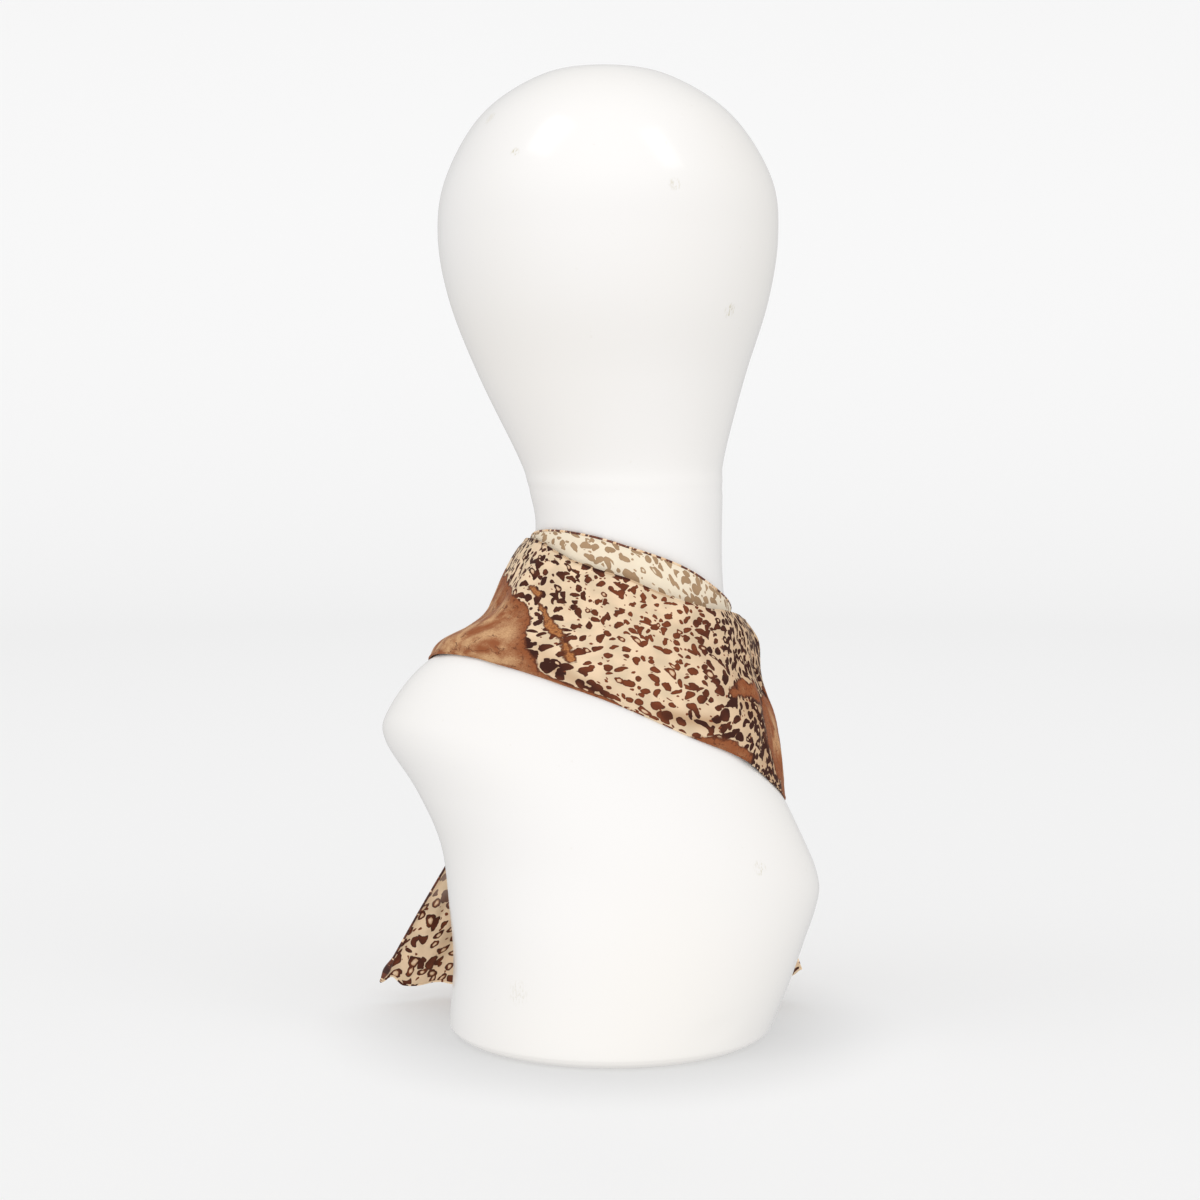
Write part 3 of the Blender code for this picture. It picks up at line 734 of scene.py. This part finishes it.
# The band: a loft through its three rings, with two sine waves that are highest at its free hem, which is also
# lifted at the nape
def buildBand(sizes):
    rings = asRings(bandTable)
    angles = roundAngles(sizes["around"])[None, :]
    share = np.linspace(0, 1, sizes["up"] + 1)[:, None]
    rise = np.sin(5 * angles + 1.0 + share) + 0.7 * np.sin(11 * angles + 2.0 - 2 * share)
    rise = sizes["wave"] * share * rise
    points = onRing(betweenRows(rings, share * (len(rings) - 1)), angles, rise)
    points[..., 2] += sizes["lift"] * share * softBump(fromAngle(angles, sizes["liftAt"]), sizes["liftReach"])
    along = sizes["printAt"][0] + sizes["girth"] * angles + sizes["printLean"] * share
    plan = planOf(along, sizes["printAt"][1] + share * sizes["width"], sizes["girth"] * 2 * np.pi)
    return giveWall(gridPiece("band_cloth", points, plan, tube=True, values={"tone": 0.5}), sizes["wall"]), points


band, bandPoints = buildBand(bandSizes)
band.data.materials.append(silkPrint("silk_reverse", reverseLook, patches=False))
bandHem = rolledHem(
    "band_hem", bandPoints[-1], bandSizes["hemRadius"], bandSizes["girth"] * roundAngles(bandSizes["around"]),
    bandSizes["girth"] * 2 * np.pi,
)
bandHem.data.materials.append(hemFinish("hem_reverse", printLook, 0.35))
print("inner ply built")

# The knot
knotSizes = {
    "centre": (-3.0, 74.8, 186.0), "half": (21.0, 12.0, 16.0), "around": 200, "up": 110,
    "turns": 3, "roundness": 2.6, "groove": 1.3, "slant": 1.1, "pleatRise": 1.1,
    "bandHalf": 0.42, "bandRise": 2.8, "bandTilt": 0.45, "printAt": (330, 40),
}


# The knot: a ball drawn out to a rounded box by the sum of its powers, with slanting grooves as a cosine to the
# eighth, and over its front a raised band of pleated cloth that runs from its upper left to its lower right
def buildKnot(sizes):
    polar = np.linspace(0, np.pi, sizes["up"] + 1)[1:-1, None]
    turn = roundAngles(sizes["around"])[None, :]
    x, y = np.sin(polar) * np.cos(turn), np.sin(polar) * np.sin(turn)
    z = -np.cos(polar) * np.ones_like(turn)
    power = sizes["roundness"]
    reach = (np.abs(x) ** power + np.abs(y) ** power + np.abs(z) ** power) ** (-1 / power)
    strand = np.cos(sizes["turns"] * (turn + sizes["slant"] * z)) ** 8
    reach = reach * (1 - sizes["groove"] / sizes["half"][1] * strand * np.sin(polar))
    aside = x * np.cos(sizes["bandTilt"]) + z * np.sin(sizes["bandTilt"])
    pastBand = softStep(np.abs(aside + 0.1 * z), sizes["bandHalf"] - 0.08, sizes["bandHalf"] + 0.04)
    over = softStep(y, 0.05, 0.35) * (1 - pastBand)
    crossing = np.abs(np.sin(9.5 * aside + 1.3 * z + 0.8 * np.sin(2.5 * z)))
    beside = np.abs(np.sin(5.5 * z + 2.2 * x + 1.5 * np.abs(x) * z))
    pleats = over * crossing + (1 - over) * beside
    rise = sizes["bandRise"] * over - sizes["pleatRise"] * (1 - pleats) ** 2 * np.sin(polar) ** 0.5
    points = np.stack([x, y, z], -1) * reach[..., None] * sizes["half"]
    away = points / np.linalg.norm(points, axis=-1, keepdims=True)
    points = points + away * rise[..., None] + sizes["centre"]
    plan = planOf(sizes["printAt"][0] + 16 * turn + 5 * z, sizes["printAt"][1] + 18 * polar, 32 * np.pi)
    low, high = (tuple(np.add(sizes["centre"], (0, 0, side * sizes["half"][2]))) for side in (-1, 1))
    # Painted shade: crowdAndShade is highest in the grooves between the pleats, darkening the cloth there
    values = {"patch": -40.0, "tone": 0.4, "crowdAndShade": 0.3 * (1 - pleats)}
    return gridPiece("knot_cloth", points, plan, tube=True, poles=(low, high), values=values)


knot = buildKnot(knotSizes)
knot.data.materials.append(silk)
print("knot built")

# The two tails
tailSizes = {
    "across": 250, "down": 170, "wall": 0.5, "topZ": 169.7, "topY": 74.8, "hemSag": 4.0, "foldAtTop": 0.2,
    "width": 150.0, "length": 190.0, "hemRadius": 0.62, "flare": 0.82, "sway": 1.3, "hemSoft": 3,
    "cornerAt": 0.945, "cornerReach": 0.055, "printFrom": (500, 700),
    "fade": 0.7, "fadeAcross": (0.70, 0.86), "fadeIn": (0.42, 0.5), "fadeOut": (0.66, 0.76),
}
# How the end hem rises and falls: share across, mm up
hemTable = [
    (0.0, 1.0), (0.08, -0.6), (0.19, 1.0), (0.30, -1.2), (0.42, 0.8), (0.52, -1.0), (0.62, 0.6), (0.71, 2.2),
    (0.80, 0.2), (0.86, -0.6), (0.92, -0.4), (1.0, 0.0),
]
# Folds: share of the width, half width, rise, and how far they bend aside
foldTable = [
    (0.10, 0.10, 7.5, 0.02), (0.30, 0.13, 10.5, -0.03), (0.55, 0.11, 7.5, 0.03), (0.76, 0.08, 4.5, -0.02),
    (0.98, 0.08, 2.5, 0.0),
]
# Small folds that end part of the way: share across at the top and at the end, start, end, half width, rise
tuckTable = [
    (0.20, 0.17, 0.0, 0.50, 0.034, 2.8), (0.42, 0.40, 0.0, 0.72, 0.030, 2.6), (0.62, 0.65, 0.1, 0.66, 0.030, 2.2),
    (0.86, 0.88, 0.1, 0.90, 0.034, 1.8), (0.33, 0.22, 0.55, 1.10, 0.030, -1.4), (0.50, 0.60, 0.6, 1.10, 0.034, 1.3),
    (0.02, 0.03, 0.2, 1.00, 0.024, 1.0), (0.92, 0.93, 0.0, 0.5, 0.024, 1.6), (0.10, 0.14, 0.0, 0.36, 0.024, -1.8),
]
# name, top inner x, top outer x, inner end corner, outer end corner, spread of the folds, and how far the end
# hem rises beside the outer corner and how thick the corner is rolled
tailTable = [
    ("tail_left", -5.0, -22.0, (-9.0, 88.0, 6.0), (-127.5, 58.0, 11.5), 1.0, 4.0, 2.0),
    ("tail_right", -1.0, 16.0, (3.0, 88.0, 6.0), (106.0, 62.0, 18.5), 0.9, -2.6, 0.9),
]


# A tail: a fan from under the knot to its end hem, straight rules from its top edge to its end one, whose spread
# grows as a power of the way down. Its folds are bumps across it that grow on the way down, the small ones only
# over their own stretch.
def buildTail(row, sizes):
    name, topInner, topOuter, inner, outer, spread, cornerRise, cornerRadius = row
    across = np.linspace(0, 1, sizes["across"] + 1)[None, :]
    down = np.linspace(0, 1, sizes["down"] + 1)[:, None]
    topX = topInner + (topOuter - topInner) * across
    endX, endZ = (inner[i] + (outer[i] - inner[i]) * across for i in (0, 2))
    x = topX + (endX - topX) * down ** sizes["flare"] + sizes["sway"] * np.sin(2.2 * np.pi * down) * (1 - across) ** 2
    wave = np.interp(across, *np.array(hemTable, float).T)
    soft = sizes["hemSoft"]
    wave = sum(np.roll(wave, turn, axis=1) for turn in range(-soft, soft + 1)) / (2 * soft + 1)
    wave[:, :soft + 1], wave[:, -soft - 1:] = wave[:, soft + 1:soft + 2], wave[:, -soft - 2:-soft - 1]
    wave = wave + cornerRise * softBump(across - sizes["cornerAt"], sizes["cornerReach"])
    z = sizes["topZ"] + (endZ - sizes["topZ"]) * down - (sizes["hemSag"] * np.sin(np.pi * across) - wave) * down ** 3
    chest = inner[1] + (outer[1] - inner[1]) * across ** 1.6
    y = sizes["topY"] + (chest - sizes["topY"]) * down ** 0.8
    for at, halfWidth, rise, drift in foldTable:
        crest = softBump(across - at * spread - drift * np.sin(np.pi * down), halfWidth * (0.7 + 0.3 * down))
        y = y + crest * rise * (sizes["foldAtTop"] + (1 - sizes["foldAtTop"]) * down)
    for topAt, endAt, start, end, halfWidth, rise in tuckTable:
        part = np.clip((down - start) / (end - start), 0, 1)
        crest = softBump(across - topAt - (endAt - topAt) * down, halfWidth) * np.sin(np.pi * part) ** 0.8
        y = y + crest * rise * (0.35 + 0.65 * down)
    points = np.stack(np.broadcast_arrays(x, y, z), axis=-1)
    side = 1 if outer[0] > inner[0] else -1
    along = sizes["length"] * down + 3 * np.sin(5 * across) + sizes["printFrom"][side > 0]
    wide = 60 + (across - 0.5) * sizes["width"] * (0.55 + 0.45 * down ** 0.7)
    plan = planOf(wide * side, along)
    faded = softStep(across, *sizes["fadeAcross"]) * softStep(down, *sizes["fadeIn"])
    faded = faded * (1 - softStep(down, *sizes["fadeOut"])) * (sizes["fade"] if side < 0 else 0.0)
    # crowdAndShade grows towards the end hem: the spots crowd and the ground darkens there
    values = {"tone": 0.25 + 0.4 * down, "crowdAndShade": 0.15 + 0.35 * down ** 4, "faded": faded}
    cloth = gridPiece(name + "_cloth", points, plan, turned=side < 0, values=values)
    giveWall(cloth, sizes["wall"])
    radius = sizes["hemRadius"]
    corner = np.linspace(0, 1, len(points))
    thick = radius + (cornerRadius - radius) * softStep(corner, 0.91, 0.96)
    thick = thick * (1 - 0.72 * softStep(corner, 0.96, 1.0))
    sideHem = rolledHem(name + "_hem_side", points[:, -1], thick, facing=(0, 1, 0))
    endHem = rolledHem(
        name + "_hem_end", points[-1], radius, plan[-1, :, 0], facing=(0, 1, 0), across=plan[-1, :, 1:])
    innerHem = rolledHem(name + "_hem_inner", points[:, 0], radius * 0.9, facing=(0, 1, 0))
    return cloth, [sideHem, endHem, innerHem]


tailSilk = silkPrint("silk_tail", tailLook, patches=False)
hemDark = hemFinish("hem_dark", printLook, 0.95)
tails = []
for row in tailTable:
    tail, tailHems = buildTail(row, tailSizes)
    tail.data.materials.append(tailSilk)
    for hem in tailHems:
        hem.data.materials.append(tailSilk if hem.name.endswith("_end") or row is tailTable[1] else hemDark)
    tails.append((row[0], tail, tailHems))
print("tails built")

# What each piece rides on, and the CAD part that it stands for, which is hidden
for piece, hems, node, slot in [
    (wrap, wrapHems, "wrap_outer", "silk_print"), (band, [bandHem], "wrap_inner", "silk_reverse"),
    (knot, [], "knot", "silk_print"), *[(tail, hems, name, "silk_print") for name, tail, hems in tails],
]:
    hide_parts(node)
    for part in [piece, *hems]:
        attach(part, "root")

# A pale floor that curves up into a wall all round, with a painted shadow round the base, and soft light that is
# strongest from the camera's side
studioLook = {
    "floor": 0.94, "glow": 0.34, "shade": 0.83, "shadeFrom": 0.075, "shadeTo": 0.17,
    "hole": 0.01, "radius": 2.1, "bend": 0.9, "height": 4.0, "around": 96, "flatRows": 16, "bendRows": 24,
    "roomColour": (1.0, 1.0, 1.0, 1.0), "roomLow": 0.60, "roomHigh": 1.05, "roomFrom": (0.0, -0.96, 0.28),
}


# The floor: a flat disc, a quarter circle and an upright wall, turned round the middle
def buildFloor(look):
    bend = np.linspace(0, np.pi / 2, look["bendRows"])[1:]
    flat = np.linspace(look["hole"], look["radius"], look["flatRows"])
    reach = np.concatenate([flat, look["radius"] + look["bend"] * np.sin(bend)])
    height = np.concatenate([0 * flat, look["bend"] * (1 - np.cos(bend))])
    reach, height = np.append(reach, reach[-1]), np.append(height, look["height"])
    angles = roundAngles(look["around"])[None, :]
    points = np.stack(np.broadcast_arrays(
        reach[:, None] * np.cos(angles), reach[:, None] * np.sin(angles), height[:, None]), axis=-1) / mm
    return gridPiece("studio_floor", points, planOf(angles, reach[:, None], 2 * np.pi), tube=True, turned=True)


floor = buildFloor(studioLook)
paper, paperShader, paperPlace = newFinish("pale_paper", {"Roughness": 0.9, "Specular IOR Level": 0.1})
level = paperPlace.vector("MULTIPLY", paperPlace, (1, 1, 0))
fromMiddle = level.vector("LENGTH", level, (0, 0, 0), 1)
# Painted shadow: from shadeFrom to shadeTo metres out from the middle the floor's colour and glow darken to the shade
# share, a soft contact shadow round the base
pastPaintedShadow = fromMiddle.step(studioLook["shadeFrom"], studioLook["shadeTo"])
paperTone = [(*[(studioLook["floor"] - studioLook["glow"]) * grey] * 3, 1) for grey in (studioLook["shade"], 1)]
paperGlow = [(*[grey] * 3, 1) for grey in (studioLook["shade"], 1)]
feed(paperShader, **{"Base Color": pastPaintedShadow.mix(pastPaintedShadow, *paperTone), "Emission Color": pastPaintedShadow.mix(pastPaintedShadow, *paperGlow)})
paperShader.inputs["Emission Strength"].default_value = studioLook["glow"]
floor.data.materials.append(paper)
floor.visible_shadow = False
floor.visible_diffuse = False
floor.visible_glossy = False
world = bpy.data.worlds.new("soft_room")
bpy.context.scene.world = world
world.use_nodes = True
room = world.node_tree.nodes["Background"]
room.inputs["Color"].default_value = studioLook["roomColour"]
roomPlace = world.node_tree.nodes.new("ShaderNodeTexCoord")
facing = Wire(world.node_tree, roomPlace.outputs["Generated"])
towards = facing.vector("DOT_PRODUCT", facing, studioLook["roomFrom"], 1)
strength = towards.step(-0.5, 1.0) * (studioLook["roomHigh"] - studioLook["roomLow"]) + studioLook["roomLow"]
world.node_tree.links.new(strength.socket, room.inputs["Strength"])

# name, place, point it faces, width, height, power in watts
lightTable = [
    ("left_box", (-1.0, -0.45, 1.95), (0, 0, 0.40), 0.6, 0.8, 2.4),
    ("right_box", (0.98, -0.75, 1.85), (0, 0, 0.40), 0.45, 0.9, 1.9),
    ("back_box", (0.1, 1.3, 2.1), (0, 0, 0.34), 1.2, 1.2, 3.4),
]
for name, place, target, width, height, power in lightTable:
    lamp = bpy.data.lights.new(name, "AREA")
    lamp.shape, lamp.size, lamp.size_y, lamp.energy = "RECTANGLE", width, height, power
    light = bpy.data.objects.new(name, lamp)
    light.location = place
    light.visible_glossy = name != "back_box"  # its reflection would draw a line along the crown
    towardsFloor = np.array(target) - np.array(place)
    light.rotation_euler = Vector(towardsFloor).to_track_quat("-Z", "Y").to_euler()
    bpy.context.scene.collection.objects.link(light)

# The camera: it looks at the back of the collar from a little above
cameraSizes = {"place": (-0.0058, -1.45, 0.37), "aim": (-0.0058, 0.0, 0.2297), "lens": 83.2545, "sensor": 36.0}
cameraData = bpy.data.cameras.new("camera")
cameraData.lens, cameraData.sensor_width = cameraSizes["lens"], cameraSizes["sensor"]
camera = bpy.data.objects.new("camera", cameraData)
camera.location = cameraSizes["place"]
gaze = np.array(cameraSizes["aim"]) - np.array(cameraSizes["place"])
camera.rotation_euler = Vector(gaze).to_track_quat("-Z", "Y").to_euler()
bpy.context.scene.collection.objects.link(camera)
bpy.context.scene.camera = camera
bpy.context.scene.view_settings.view_transform = "Standard"
print("studio set")
